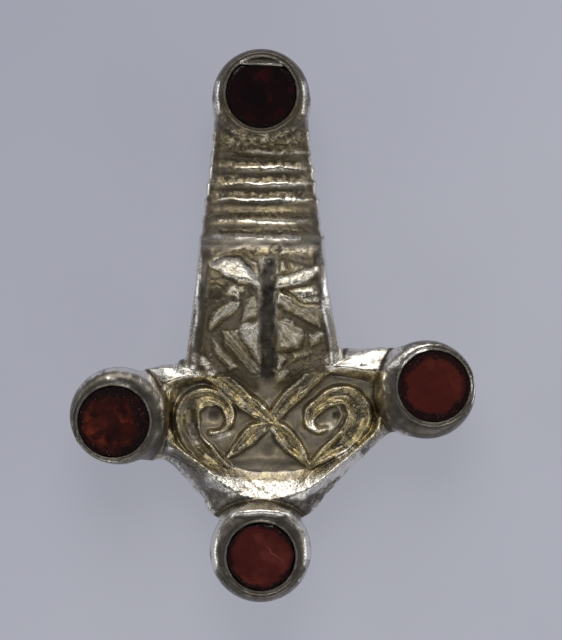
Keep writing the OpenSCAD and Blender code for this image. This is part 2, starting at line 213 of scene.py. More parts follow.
# Places rubbed bare, and painted highlights where rims, edges and slopes catch the light: points in
# pixels, then half-width in millimetres and how bare and bright
RUBBED_AND_HIGHLIT = [
    ([(212, 479), (240, 488), (272, 491), (305, 487), (335, 469), (352, 455)], 1.15, 1.0),
    ([(336, 361), (360, 360), (390, 358)], 1.3, 1.0),
    ([(150, 374), (172, 370), (196, 371)], .8, .9),
    ([(214, 236.5), (232, 236.5), (250, 237), (266, 238), (282, 239), (298, 239)], .32, 1.0),
    ([(323, 243), (325, 290)], .35, 1.0),
    ([(326, 290), (329, 318), (334, 345)], .65, 1.0),
    ([(200.5, 240), (199, 298), (196, 325), (192, 345)], .22, 1.0),
    ([(311, 425), (319, 428.5), (329, 426)], .50, 1.0),
    ([(210, 433), (219, 436), (228, 433.5)], .35, .9),
    ([(264, 407), (269, 400)], .35, .7),
    ([(266, 433), (273, 430)], .40, 1.0),
    ([(236, 509), (262, 508), (282, 511)], .50, .9),
    ([(196, 358), (206, 364), (213, 372)], .60, .9),
    ([(134, 361), (146, 366), (155, 373)], .65, .8),
    ([(399, 366), (405, 358), (414, 352), (424, 348.5)], .32, .8),
    ([(244, 65), (262, 64), (280, 66.5)], .42, .8),
    ([(218, 84), (217, 98), (218.5, 114)], .24, .9),
    ([(304, 84), (305, 98), (303.5, 114)], .24, .9),
    ([(471, 376), (472.5, 390), (471, 402)], .22, .5),
    ([(402, 353), (414, 347), (428, 345.5)], .26, .7),
    ([(215.5, 538), (214.5, 552), (216, 564)], .24, .8),
    ([(305.5, 538), (306.5, 552), (305, 564)], .24, .8),
    ([(110, 378), (121, 381.5), (131, 385)], .28, .7),
    ([(215, 134), (213, 152), (209, 184), (204, 212), (201, 236)], .16, 1.0),
    ([(308, 134), (311, 152), (315, 184), (319, 212), (322, 236)], .16, 1.0),
    ([(216, 264), (232, 266), (246, 272), (256, 281)], .70, 1.0),
    ([(280, 282), (300, 276), (314, 270)], .50, .9),
    ([(286, 327), (294, 332), (301, 337)], .9, .9),
    ([(311, 338), (320, 335)], .5, .8),
    ([(246, 328), (252, 342), (258, 354)], .9, .7),
    ([(216, 322), (226, 312), (238, 304)], .30, .6),
    ([(282, 354), (280, 366)], .5, .6),
]
# The channel down the bow: its middle and its half-width
CHANNEL_X = -.52
CHANNEL_W = .82
# The straight side of the foot's stone: its height on the brooch and its lean
CUT_Y = 25.83
CUT_LEAN = -.05

# Unevenness, as rows of amount and size in millimetres, and seed
WARP_X = [(.05, .9, 21), (.05, 2.3, 22)]
WARP_Y = [(.05, .9, 23), (.05, 2.3, 24)]
FIELD_START = [(.28, 1.3, 81), (.10, .5, 82)]
RAGGED = [(.18, .6, 84), (.09, .25, 85)]
GRAIN = [(.034, .24, 1), (.045, .45, 2), (.04, 1.1, 3)]
WAVES = [(.03, 1.1, 4), (.05, 3.1, 5)]
STREAKS = [(.040, .42, 7), (.022, .21, 8)]
BACK_WAVES = [(.05, 1.6, 41), (.04, .8, 42)]

# The finish: how rough, how dark and how gilt each kind of place is
ROUGH = {"rubbed_and_highlit": .35, "pattern": .50, "slope": .40, "bow": .70, "foot_setting": .80, "rough_foot": .60}
DARK = {"pits": .80, "left_scroll": .60, "shaded_ground": .20, "low_ground": .75, "foot": .42,
        "foot_setting": .45, "under_ribs": .90, "foot_pits": .95, "bow_ground": .74,
        "above_blades": .70, "collars": .90, "rim": 1.0, "below_crest": .75}
GILD = {"pattern": 1.0, "ground": .45, "foot": .62, "slope": .35, "bow": .80, "foot_setting": .50,
        "slope_ends": .45}


def spot(points):
    """Pixels of the photograph to millimetres in the frame, from the first two columns."""
    p = np.asarray(points, float)
    return np.stack([(p[..., 0] - MIDDLE[0]) * PIXEL, (MIDDLE[1] - p[..., 1]) * PIXEL], -1)


def smooth(t):
    t = np.clip(t, 0, 1)
    return t * t * (3 - 2 * t)


def ramp(value, start, end):
    """Goes smoothly from 0 at start to 1 at end, which may be the lower of the two."""
    return smooth((value - start) / (end - start))


def smooth_max(a, b, k):
    h = np.clip(.5 + .5 * (a - b) / k, 0, 1)
    return a * h + b * (1 - h) + k * h * (1 - h)


def bump_at(d, width):
    return np.exp(-(d / width) ** 2)


def curve(rows, steps=4, closed=True):
    """A Catmull-Rom curve through the rows."""
    p = np.asarray(rows, float)
    if not closed:
        p = np.concatenate([2 * p[:1] - p[1:2], p, 2 * p[-1:] - p[-2:-1]])
    a, b, c, d = np.roll(p, 1, 0), p, np.roll(p, -1, 0), np.roll(p, -2, 0)
    out = []
    for t in np.arange(steps) / steps:
        out.append(.5 * (2 * b + (c - a) * t + (2 * a - 5 * b + 4 * c - d) * t ** 2
                         + (3 * b - a - 3 * c + d) * t ** 3))
    out = np.stack(out, 1)
    if closed:
        return out.reshape(-1, p.shape[1])
    return np.concatenate([out[1:-2].reshape(-1, p.shape[1]), p[-2:-1]])


def near(x, y, points, reach):
    """Which places lie within reach of the points' box."""
    lo, hi = points.min(0) - reach, points.max(0) + reach
    return (x > lo[0]) & (x < hi[0]) & (y > lo[1]) & (y < hi[1])


def along_line(x, y, line, closed=False):
    """Distance to a line of points, the signed distance, and where along it the nearest point is."""
    ends = np.roll(line, -1, 0) if closed else line[1:]
    best = np.full(np.shape(x), 1e9)
    side = np.zeros(np.shape(x))
    place = np.zeros(np.shape(x))
    for n, ((ax, ay), (bx, by)) in enumerate(zip(line, ends)):
        dx, dy = bx - ax, by - ay
        t = np.clip(((x - ax) * dx + (y - ay) * dy) / max(dx * dx + dy * dy, 1e-12), 0, 1)
        far = (x - ax - t * dx) ** 2 + (y - ay - t * dy) ** 2
        closer = far < best
        best = np.where(closer, far, best)
        side = np.where(closer, dx * (y - ay) - dy * (x - ax), side)
        place = np.where(closer, n + t, place)
    best = np.sqrt(best)
    return best, np.where(side < 0, -best, best), place


def depth_inside(x, y, loop, reach=6.0):
    """Distance to a closed outline, positive inside. Places far from it get minus reach."""
    out = np.full(np.shape(x), -reach)
    here = near(x, y, loop, reach)
    px, py = x[here], y[here]
    within = np.zeros(px.shape, bool)
    for (ax, ay), (bx, by) in zip(loop, np.roll(loop, -1, 0)):
        if ay != by:
            within ^= ((ay > py) != (by > py)) & (px < (bx - ax) * (py - ay) / (by - ay) + ax)
    d = along_line(px, py, loop, True)[0]
    out[here] = np.clip(np.where(within, d, -d), -reach, reach)
    return out


def noise(x, y, size, seed, cells=256, shift=(61.7, 83.1)):
    """Smooth value noise from -1 to 1, with bumps of about size millimetres."""
    table = np.random.default_rng(seed).uniform(-1, 1, (cells, cells))
    u, v = x / size + shift[0], y / size + shift[1]
    i, j = np.floor(u).astype(int), np.floor(v).astype(int)
    a, b = smooth(u - i), smooth(v - j)
    i, j, next_i, next_j = i % cells, j % cells, (i + 1) % cells, (j + 1) % cells
    low = table[i, j] * (1 - a) + table[next_i, j] * a
    high = table[i, next_j] * (1 - a) + table[next_i, next_j] * a
    return low * (1 - b) + high * b


def noises(x, y, rows):
    """The sum of several noises, each with its amount, size and seed."""
    return sum(amount * noise(x, y, size, seed) for amount, size, seed in rows)


def strap_column(y, column):
    return np.interp(y, STRAP[:, 0], STRAP[:, column])


def bell(y, half):
    return np.cos(np.clip((y - BOW_Y) / half, -1, 1) * math.pi / 2).clip(0) ** 1.5


def underside(y):
    return BACK + BOW_RISE * bell(y, ARCH_REACH)


def fall(z, d, rounding=.3, gentle=1.5, steep=8):
    """Lets a height fall away outside an edge, where d is below 0: gently, then steeply."""
    return z + gentle * np.clip(d, -rounding, 0) + steep * np.minimum(d + rounding, 0)


def ribs(x, y):
    """The foot's cross ribs: short bright flanks above, long ones below, faint lines between."""
    total = np.zeros(np.shape(y))
    for n, (rib_y, rise, _) in enumerate(RIBS):
        row = y * 0 + 5 * n
        d = y - rib_y - .15 * noise(x, row, 1.7, 30 + n) - .06 * noise(x, y * 0 + n, .5, 33 + n)
        strength = rise * (1 + .30 * noise(x, row, 1.3, 130 + n))
        flank = np.where(d > 0, .40, .60)
        total += strength * np.exp(-np.abs(d / flank) ** 1.7)
    for n, rib_y in enumerate(FAINT_RIBS):
        d = y - rib_y - .12 * noise(x, y * 0 + 3 * n, 1.4, 50 + n)
        total += .09 * bump_at(d, .13) * (.5 + .5 * noise(x, y * 0 + n, 1.8, 70 + n))
    return total * ramp(y, 7.9, 8.4) * ramp(y, 19.4, 18.8)


def strap_edges(x, y):
    """Distance in from the strap's nearer edge, its share of that edge's slope, and its width."""
    nick = .30 * ribs(0 * x - 1, y) + .09 * noise(x * 0 + np.sign(x), y, .42, 11) * ramp(y, 8.3, 8.8)
    left = x - strap_column(y, LEFT) + nick
    right = strap_column(y, RIGHT) - x + nick
    width = np.where(left < right, strap_column(y, LEFT_SLOPE), strap_column(y, RIGHT_SLOPE))
    inset = np.minimum(left, right)
    return inset, inset / width, width


def blade_height(x, y):
    """The blades carved on the bow, each falling away outside its outline, and how bare they are, which
    also paints highlight.

    Also where each place lies across the strokes cut in its blade, and how deep they are."""
    h, rubbed_and_highlit, across_all, cut = (np.zeros(np.shape(x)) for _ in range(4))
    for corners, rise, way, slope, stroke, depth, bare_and_highlit in BLADES:
        loop = spot(corners)
        here = near(x, y, loop, .6)
        px = x[here] + .10 * noise(x[here], y[here], .8, 93)
        py = y[here] + .10 * noise(x[here], y[here], .8, 94)
        centre = loop.mean(0)
        dx, dy = px - centre[0], py - centre[1]
        way = math.radians(way)
        plane = rise - slope * (dx * math.cos(way) + dy * math.sin(way))
        if stroke is None:
            # its strokes spread from near its first corner
            from_x, from_y = loop[0] + FAN_START
            across = FAN_SPREAD * np.arctan2(py - from_y, px - from_x)
        else:
            across = dy * math.cos(math.radians(stroke)) - dx * math.sin(math.radians(stroke))
        within = depth_inside(px, py, loop, 1.0)
        plane += 1.3 * np.minimum(within - .10, 0) + .5 * np.clip(within - .10, 0, .3) - .1
        rubbed_and_highlit[here] = np.maximum(rubbed_and_highlit[here], bare_and_highlit * ramp(within, 0, .2))
        on_top = plane > h[here]
        across_all[here] = np.where(on_top, across, across_all[here])
        cut[here] = np.where(on_top, depth * ramp(within, 0, .25), cut[here])
        h[here] = smooth_max(h[here], plane, .10)
    return h, rubbed_and_highlit, across_all, cut


def strap_height(x, y):
    """The foot and the bow: height, distance in from their edges, and masks for the finish."""
    inset, share, width = strap_edges(x, y)
    left, right = strap_column(y, LEFT), strap_column(y, RIGHT)
    across = (2 * x - left - right) / (right - left)
    crown = .5 + .35 * ramp(y, 8, 9.5)
    face = BACK + FOOT_T + (BOW_RISE + .5) * bell(y, FACE_REACH) - crown * across ** 2
    face += ribs(x, y) * (1 - .65 * across ** 2)
    # the foot rises towards its setting, and the bow sinks into the head plate
    face += 1.80 * ramp(y, 16.4, 18.6) * (1 - .55 * across ** 2)
    face -= 1.2 * ramp(y, -5.4, -7.4)
    # the carved field and the channel down its middle
    start = 8.25 + noises(x, x * 0, FIELD_START)
    sunk = smooth((start - y) / (.95 + 1.0 * across ** 2))
    sunk *= ramp(x - left, .85, 1.45) * ramp(right - x, .75, 1.35)
    off_middle = np.abs(x - CHANNEL_X)
    side = x * 0 + np.sign(x - CHANNEL_X)
    half = CHANNEL_W + .035 * (y - 1) + .10 * noise(side, y, 1.1, 83)
    channel = ramp(half - off_middle, 0, .35) * ramp(y, 6.6, 5.7)
    blades, rubbed_and_highlit, stroke, cut = blade_height(x, y)
    on_blades = sunk * (1 - channel)
    blades, rubbed_and_highlit, cut = blades * on_blades, rubbed_and_highlit * on_blades, cut * on_blades
    face += sunk * (-CARVED - CHANNEL_DEPTH * channel) + blades
    edge = np.maximum(underside(y) + .8, face - .56 * width)
    bevel = 1 - (1 - np.clip(share, 0, 1)) ** 1.1
    z = edge + (face - edge) * bevel
    inset = np.minimum(inset, np.minimum(STRAP_HIGH - y, y - STRAP_LOW))
    shown = SimpleNamespace(share=share, blades=blades, rubbed_and_highlit=rubbed_and_highlit, stroke=stroke, cut=cut)
    return fall(z, inset), inset, shown


def plate_height(x, y):
    """The head plate: its height, and the distances in from its outline, field and crest."""
    crest = curve(spot(CREST_AT))
    rise, slope = curve(CREST_AT[:, 2:]).T
    d_out = depth_inside(x, y, curve(spot(PLATE_OUT)))
    d_crest = depth_inside(x, y, crest)
    d_field = depth_inside(x, y, curve(spot(FIELD_AT)))
    turn = np.arctan2(crest[:, 1] - PLATE_Y, crest[:, 0] - PLATE_X)
    order = np.argsort(turn)
    bearing = np.arctan2(y - PLATE_Y, x - PLATE_X)

    def around(values):
        return np.interp(bearing, turn[order], values[order], period=2 * math.pi)

    top = FIELD + (CREST - FIELD) * around(rise)
    inner = np.clip(-d_field / np.maximum(-d_field + d_crest, 1e-6), 0, 1)
    wide = np.maximum(-d_crest + d_out, 1e-6)
    outer = np.clip(-d_crest / wide, 0, 1)
    drop = np.minimum(top - PLATE_EDGE, around(slope) * wide)
    z = np.where(d_field > 0, FIELD, FIELD + (top - FIELD) * (1 - (1 - inner) ** 1.2))
    z = np.where(d_crest < 0, top - drop * outer ** 1.3, z)
    return fall(z, d_out), d_out, d_field, d_crest


def band_height(x, y, rows, rise, hollow, ridges):
    """A raised band with a sharp border, a hollow along it and fine ridges in the hollow."""
    rows = curve(rows, 4, False)
    line = spot(rows)
    out = np.zeros(np.shape(x))
    here = near(x, y, line, 2.2)
    px, py = x[here], y[here]
    d, signed, place = along_line(px, py, line)
    half = np.interp(place, np.arange(len(rows)), rows[:, 2] * PIXEL)
    inside = half - d + .07 * noise(px, py, .8, 62)
    h = .8 * rise * ramp(inside, -.22, .40) * (1 + .16 * noise(px, py, 1.0, 61))
    uneven = 1 + .4 * noise(px, py, 1.5, 60)
    h -= .9 * hollow * ramp(inside, .22, 1.02) * ramp(half, .2, .7) * uneven
    for where, height in ridges:
        off = signed - where * half + .06 * noise(px, py, .9, 63)
        h += .6 * height * bump_at(off, .12) * ramp(inside, 0, .2) * (1 + .5 * noise(px, py, 1.1, 64))
    out[here] = h
    return out


def pattern_height(x, y):
    h = np.zeros(np.shape(x))
    for band in BANDS:
        h = smooth_max(h, band_height(x, y, *band), .06)
    return h


def line_height(x, y):
    h = np.zeros(np.shape(x))
    for points, width, height in LINES:
        line = spot(points)
        here = near(x, y, line, 3 * width)
        h[here] = np.maximum(h[here], height * bump_at(along_line(x[here], y[here], line)[0], width))
    return h


def setting_height(x, y, at):
    """A setting: a wall that rounds over to a nearly flat rim, a groove and a thin nicked lip."""
    from_lip = np.hypot(x - at.x, y - at.y)
    turn = np.arctan2(y - at.y, x - at.x)
    inward = at.base_r - np.hypot(x - at.base_x, y - at.base_y)
    wavy = .06 * np.sin(3 * turn + at.base_x) + .03 * np.sin(5 * turn + at.base_y)
    beyond = from_lip - at.r - LIP_W - wavy
    t = np.clip(inward / np.maximum(inward + beyond, 1e-6), 0, 1)
    t = np.where(beyond <= 0, 1, t)
    shoulder = SETTING_TOP - .20
    z = RIM_LOW + (shoulder - RIM_LOW) * np.clip(1 - (1 - t) ** 2.1, 0, 1) ** .5
    nick = noise(3.5 * np.cos(turn), 3.5 * np.sin(turn), .32, int(40 + abs(at.base_x)))
    out = from_lip - at.r
    z = z + .04 * noise(turn * 9, out * 1.5, .8, 44) * ramp(inward, 0, .3) * ramp(beyond, 0, .3)
    lip = .15 * np.exp(-np.abs((out - .09 - .04 * nick) / .08) ** 2.2) * (1 + .5 * nick)
    groove = .12 * bump_at(out - .27 - .05 * nick, .08)
    return fall(z + (lip - groove) * (beyond < .3), inward), inward, from_lip


def rubbed_and_highlit_places(x, y):
    """How bare each place is rubbed, with its painted highlight, from the table of places."""
    out = np.zeros(np.shape(x))
    for points, width, amount in RUBBED_AND_HIGHLIT:
        line = spot(points)
        here = near(x, y, line, width + .3)
        d = along_line(x[here], y[here], line)[0] + .25 * width * noise(x[here], y[here], .9, 95)
        out[here] = np.maximum(out[here], amount * ramp(d, width, .5 * width))
    return out


def body_height(x, y):
    """Height of the brooch's face, the distance in from its outline, and masks for the finish."""
    wx, wy = x + noises(x, y, WARP_X), y + noises(x, y, WARP_Y)
    strap, strap_in, shown = strap_height(x, y)
    plate, plate_in, field_in, crest_in = plate_height(x, y)
    pattern = pattern_height(wx, wy) * ramp(field_in, -.7, -.2)
    base = np.where(field_in > -.9, smooth_max(plate, FIELD + pattern - .02, .26), plate)
    z = np.where(strap_in > -1, smooth_max(strap, base, .25), base)
    shown.pits = np.zeros(np.shape(x))
    for middle, radius, depth in PITS:
        at = spot(middle)
        pit = np.exp(-(np.hypot(x - at[0], y - at[1]) / radius) ** 4)
        shown.pits = np.maximum(shown.pits, pit)
        z = z - depth * pit
    inset = smooth_max(plate_in, strap_in, .5)
    ring = np.full(np.shape(x), 9.0)
    for at in SETTINGS.values():
        h, inward, from_lip = setting_height(x, y, at)
        blend = np.where(inward > -1.5, smooth_max(h, z, .5), z)
        z = np.where(from_lip < at.r + LIP_W, h, blend)
        inset = smooth_max(inset, inward, .5)
        ring = np.minimum(ring, from_lip - at.r)
    z = z + line_height(wx, wy) * ramp(ring, .6, .9)
    shown.rubbed_and_highlit = np.maximum(shown.rubbed_and_highlit, rubbed_and_highlit_places(x, y))
    shown.field, shown.crest, shown.strap = field_in, crest_in, strap_in
    shown.ring, shown.pattern, shown.out = ring, pattern, plate_in
    return z, inset, shown


def blurred(grid, sigma):
    """Gaussian blur of a grid, by its spectrum."""
    pad = int(4 * sigma) + 1
    g = np.pad(grid, pad, mode="edge")
    fy, fx = np.fft.fftfreq(g.shape[0])[:, None], np.fft.rfftfreq(g.shape[1])[None]
    weight = np.exp(-2 * (math.pi * sigma) ** 2 * (fx ** 2 + fy ** 2))
    return np.fft.irfft2(np.fft.rfft2(g) * weight, g.shape)[pad:-pad, pad:-pad]


class Sheet:
    """Values on a fine square grid over the brooch, read anywhere between its points."""

    def __init__(self, step=.07, low=(-21.2, -28.6), size=(42.4, 57.2)):
        self.step, self.low = step, low
        xs = low[0] + step * np.arange(int(size[0] / step))
        ys = low[1] + step * np.arange(int(size[1] / step))
        self.x, self.y = np.meshgrid(xs, ys)

    def read(self, grid, x, y):
        u = np.clip((x - self.low[0]) / self.step, 0, grid.shape[1] - 1.001)
        v = np.clip((y - self.low[1]) / self.step, 0, grid.shape[0] - 1.001)
        i, j = u.astype(int), v.astype(int)
        a, b = u - i, v - j
        return ((grid[j, i] * (1 - a) + grid[j, i + 1] * a) * (1 - b)
                + (grid[j + 1, i] * (1 - a) + grid[j + 1, i + 1] * a) * b)

    def nearest(self, grid, x, y):
        i = np.clip(np.round((x - self.low[0]) / self.step).astype(int), 0, grid.shape[1] - 1)
        j = np.clip(np.round((y - self.low[1]) / self.step).astype(int), 0, grid.shape[0] - 1)
        return grid[j, i]


sheet = Sheet()
X, Y = sheet.x, sheet.y
raw, inset_grid, face = body_height(X, Y)
raw = np.maximum(raw, BACK - 1)

# Where each kind of place of the finish lies
on = SimpleNamespace(pits=face.pits, rubbed_and_highlit=face.rubbed_and_highlit)


def finish(shares):
    """Each place's mask times its share, for the places in one table of the finish."""
    return [share * getattr(on, name) for name, share in shares.items()]


ragged = noises(X, Y, RAGGED)
on.pattern = ramp(face.pattern, 0, .5)
on.left_scroll = on.pattern * ramp(X, -6.6, -7.8)
on.ground = ramp(face.field, -.05, .25) * (1 - ramp(face.pattern, 0, .25)) * ramp(Y, -4.2, -4.6)
on.foot = ramp(Y, 8.4, 9.0) * ramp(face.strap, .1, .4)
on.slope = ramp(face.field, .1, -.2) * ramp(face.crest, -.5, 0) * ramp(Y, -3, -4)
off_channel = ramp(np.abs(X - CHANNEL_X) - CHANNEL_W + 1.9 * ragged, -.30, .45)
on.bow = ramp(Y, 8.0, 7.2) * ramp(Y, -7, -6) * ramp(face.strap, .9, 1.2)
on.bow *= off_channel + (1 - off_channel) * ramp(Y, 6.6, 7.0)
# the foot's rough face runs up over the lower side of its setting
on.foot_setting = ramp(Y, 17.0, 17.8) * ramp(face.ring, .5, .8) * ramp(Y - ragged, 19.75, 19.35)
between_ribs = np.max([bump_at(Y - row[0] - .45, .35) for row in RIBS], 0)
on.rough_foot = on.foot * np.clip(.20 + .9 * between_ribs + ramp(Y, 18.2, 18.8), 0, 1)

# Hand-cut and worn: broad unevenness everywhere, grain in the gilt parts, a smooth outer slope
rough = np.clip(.15 + sum(finish(ROUGH)), 0, 1.1)
rough *= np.maximum(ramp(face.ring, .9, 1.4), on.foot_setting)
grain = noises(X, Y, GRAIN) * rough + noises(X, Y, WAVES) + .08 * on.ground * noise(X, Y, .9, 14)
dents = np.clip(noise(X, Y, .36, 6) - .5, 0, 1) * .22 * rough * (1 - .8 * face.rubbed_and_highlit)
# small pits between the ribs of the foot
pitted = ramp(noise(X, Y * 1.5, .27, 15), .05, .55) * np.clip(on.rough_foot + on.foot_setting, 0, 1)
dents += .07 * pitted
# streaks along the outer slopes of the plate, but not round the walls of the settings
on_rim = ramp(face.crest, .15, -.25) * ramp(face.out, -.5, 0)
along_rim = np.arctan2(Y - PLATE_Y, X - PLATE_X) * 9
on_wall = ramp(face.ring, 1.75, 1.35) * ramp(face.ring, .5, .7)
grain += noises(face.out * 3, along_rim, STREAKS) * on_rim * (1 - on_wall)
height = blurred(raw, 1.0) + (grain - dents) * ramp(face.ring, .62, .82)

# Painted highlights along the ribs' crests, widest and brightest in the middle of the foot
off_middle = np.abs(X - .1)
line_w = .12 + .19 * ramp(off_middle, 3.6, .8)
crest_highlights = np.max([rise / .40 * bump_at(Y - rib_y, line_w) for rib_y, rise, _ in RIBS], 0)
crest_highlights *= np.clip(1.35 - .22 * off_middle + .6 * noise(X, Y * 2, 1.3, 13), 0, 1) * on.foot
rubbed_and_highlit_grid = np.maximum(face.rubbed_and_highlit, .9 * crest_highlights)
rubbed_and_highlit_grid = np.clip(rubbed_and_highlit_grid * (.85 + .5 * noise(X, Y, .7, 10)), 0, 1)

# The settings' collars: tarnish with painted shade, reaching further down on the lower side of the left
# and right ones as painted shade
shaded_low_side = ramp(-np.gradient(face.ring, sheet.step, axis=0), 0, .6) * ramp(np.abs(X), 9, 11)
on.collars = ramp(face.ring - .7 * shaded_low_side - 1.5 * ragged, 1.8, 1.1) * (1 - on.foot_setting)
# The step down to the blades faces away from the light and gets painted shade; the strip above the left
# blade is darker than the blades are
on.above_blades = bump_at(Y - 7.5, .55) * ramp(X, -1.2, -2.0) * on.bow
shaded_step = bump_at(Y - 8.15, .38) * ramp(face.share, .5, 1.5)
# The head plate's ends to the left and right, and its part below the field
on.slope_ends = on.slope * ramp(np.abs(X - PLATE_X), 8.5, 9.5)
low_plate = ramp(Y, -12, -13)

# Wear and painted shade: how much each place stands out of what is round it, for bare metal, or sinks into
# it, for grime and painted shade in the hollows
wear_and_shade_grid = (height - blurred(height, 3)) * 7 * (1 + .6 * noise(X, Y, .9, 12))
wear_and_shade_grid += (height - blurred(height, 10)) * .9
# the head plate's field is worn all over, so its borders stand out less and its ground, with less painted
# shade, isn't black
wear_and_shade_grid *= 1 - np.where(wear_and_shade_grid > 0, .58, .62) * ramp(face.field, -1.6, -.8)
wear_and_shade_grid += .5 * on_rim * bump_at(face.out - .30, .25) * low_plate * ramp(X, -2, -3)
wear_and_shade_grid += .45 * on.slope_ends * noise(X, Y * .5, .3, 17)
wear_and_shade_grid -= .55 * on.above_blades + .4 * shaded_step + .12 * on.foot
on_side = ramp(face.share, -.1, .1) * ramp(face.strap, 1.6, 1.1) * ramp(Y, -4.4, -3.9)
wear_and_shade_grid = np.clip(wear_and_shade_grid * (1 - .9 * on.collars) * (1 - on_side), -1.5, 1.5)

# Dark, smooth and dirty: the sunk ground, the channel, the bow's ground and borders, the walls; painted
# shade below the ribs, on the step and below the plate's lower crest
# painted shade below each rib's crest, where its lower flank faces away from the light
under_ribs = np.max([dark * bump_at(Y - rib_y + .58, .34) for rib_y, _, dark in RIBS], 0)
on.under_ribs = np.maximum(np.maximum(under_ribs, ramp(face.strap, 1.6, .4)) * on.foot, shaded_step)
on.bow_ground = on.bow * (1 - ramp(face.blades, .05, .17)) * ramp(Y, 7.4, 6.8)
on.foot_pits = pitted * (1 - .8 * crest_highlights)
on.shaded_ground = on.ground * (1 - .4 * bump_at(Y + 12.2, 1.0) * bump_at(X + .6, 2.2))
on.low_ground = on.ground * bump_at(Y + 13.7, .45)
# painted shade on the outer slope just below the lower crest, which faces away from the light
on.below_crest = on_rim * bump_at(face.crest + .75, .45) * low_plate
on.rim = (.50 + .28 * ramp(X, 2, 3) * low_plate) * on_rim
on.rim *= 1 + .7 * noise(face.out * 3, along_rim, .5, 16)
in_channel = (1 - off_channel) * ramp(Y, 7.4, 6.6) * ramp(Y, -6.6, -5.0)
in_border = ramp(Y, 7.9, 7.4) * ramp(Y, -4.6, -4.0) * ramp(face.share, .6, 1.1)
in_border *= (1 - ramp(face.blades, .08, .20)) * ramp(face.strap, 1.45, 1.05)
dark_grid = np.maximum.reduce(finish(DARK)) * (1 + .25 * noise(X, Y, 1.5, 9))
# only the channel and the borders may be darker than this
dark_grid = np.maximum.reduce([np.minimum(dark_grid, .88), .98 * in_channel, .93 * in_border])
dark_grid = np.clip(dark_grid * (1 - rubbed_and_highlit_grid), 0, 1)

# Gilding, with more left on the fan-shaped blade and along the crescent's inner edge
gild_grid = (.10 + sum(finish(GILD))) * (1 - .7 * rubbed_and_highlit_grid)
gild_grid += .55 * bump_at(np.hypot(X - 1.7, Y + .9), 1.8)
gild_grid += .3 * bump_at(face.field + .5, .5) * low_plate
gild_grid = np.clip(gild_grid, 0, 1)

# Spacing of the casting's points where it is carved, elsewhere and at the back
FINE = .115
COARSE = .21
BACK_SPACING = .55
# Rings of points round each stone, by their distance from it
RING_POINTS = 192
RINGS = (.03, .07, .15, .26, .37, .43, .49, .57)
# Its outer wall, as share of the height and distance outwards
WALL = ((.85, .045), (.55, .06), (.22, .04), (.06, -.03), (0, -.12))


def trace_outline(step=.14, start=(-1.15, 27.5), most=4000):
    """Walks round the outline, where the distance in from it is 0."""
    gy, gx = np.gradient(inset_grid, sheet.step)

    def read(grid, at):
        return float(sheet.read(grid, np.array([at[0]]), np.array([at[1]]))[0])

    p = np.array(start)
    points = []
    for _ in range(most):
        for _ in range(3):
            g = np.array([read(gx, p), read(gy, p)])
            p = p - g * read(inset_grid, p) / max(g @ g, .05)
        if len(points) > 40 and np.hypot(*(p - points[0])) < step * .75:
            return np.array(points)
        points.append(p)
        g = np.array([read(gx, p), read(gy, p)])
        p = p + step * np.array([g[1], -g[0]]) / np.hypot(*g)
    raise RuntimeError("the outline did not close")


def triangulate(points, edges):
    made = delaunay_2d_cdt([Vector(p) for p in points], edges, [], 0, 1e-7)
    return np.array([tuple(v) for v in made[0]]), np.array([tuple(f) for f in made[2]])


def hex_points(spacing, half_x=20.6, half_y=28):
    rows = []
    for n, y in enumerate(np.arange(-half_y, half_y, spacing * .866)):
        xs = np.arange(-half_x, half_x, spacing) + (n % 2) * spacing / 2
        rows.append(np.stack([xs, np.full(xs.shape, y)], 1))
    return np.concatenate(rows)


def circle(at, r, n=RING_POINTS):
    a = np.arange(n) * 2 * math.pi / n
    return np.stack([at.x + r * np.cos(a), at.y + r * np.sin(a)], 1)


def from_stone(points, at):
    return np.hypot(points[:, 0] - at.x, points[:, 1] - at.y) - at.r


def ring_edges(first, n):
    return [(first + i, first + (i + 1) % n) for i in range(n)]


outline = trace_outline()


def face_mesh():
    """Points and triangles of the front: fine where it is carved, with rings round each stone."""
    points, edges = [outline], ring_edges(0, len(outline))
    count = len(outline)
    detail = np.maximum.reduce([rough, ramp(face.field, -2.0, -1.5), on.foot])
    fine_points, coarse_points = hex_points(FINE), hex_points(COARSE)
    a = sheet.read(detail, *fine_points.T) > .5
    b = sheet.read(detail, *coarse_points.T) <= .5
    p = np.concatenate([fine_points[a], coarse_points[b]])
    inside = sheet.read(inset_grid, *p.T) > FINE * .6
    for at in SETTINGS.values():
        inside &= from_stone(p, at) > RINGS[-1] + .08
        for extra in RINGS:
            points.append(circle(at, at.r + extra))
            edges += ring_edges(count, RING_POINTS)
            count += RING_POINTS
    points.append(p[inside])
    flat, tris = triangulate(np.concatenate(points), edges)
    mid = flat[tris].mean(1)
    kept = sheet.read(inset_grid, *mid.T) > .003
    for at in SETTINGS.values():
        kept &= from_stone(mid, at) > RINGS[0] * .9
    return flat, tris[kept]


def face_z(x, y):
    """Height of the front, from the grid and close to the stones from the settings' own form."""
    z = sheet.read(height, x, y)
    for at in SETTINGS.values():
        h, _, from_lip = setting_height(x, y, at)
        share = ramp(from_lip - at.r, .85, .60)
        z = z * (1 - share) + h * share
    return z


def attribute(mesh, name, values):
    made = mesh.attributes.new(name, "FLOAT", "POINT")
    made.data.foreach_set("value", np.asarray(values, np.float32))


def mesh_object(name, verts, faces, rounded=True):
    mesh = bpy.data.meshes.new(name)
    points = [tuple(v) for v in np.asarray(verts) * MM]
    mesh.from_pydata(points, [], [tuple(int(i) for i in f) for f in faces])
    mesh.validate()
    mesh.update()
    if rounded:
        mesh.polygons.foreach_set("use_smooth", [True] * len(mesh.polygons))
    made = bpy.data.objects.new(name, mesh)
    bpy.context.scene.collection.objects.link(made)
    return made


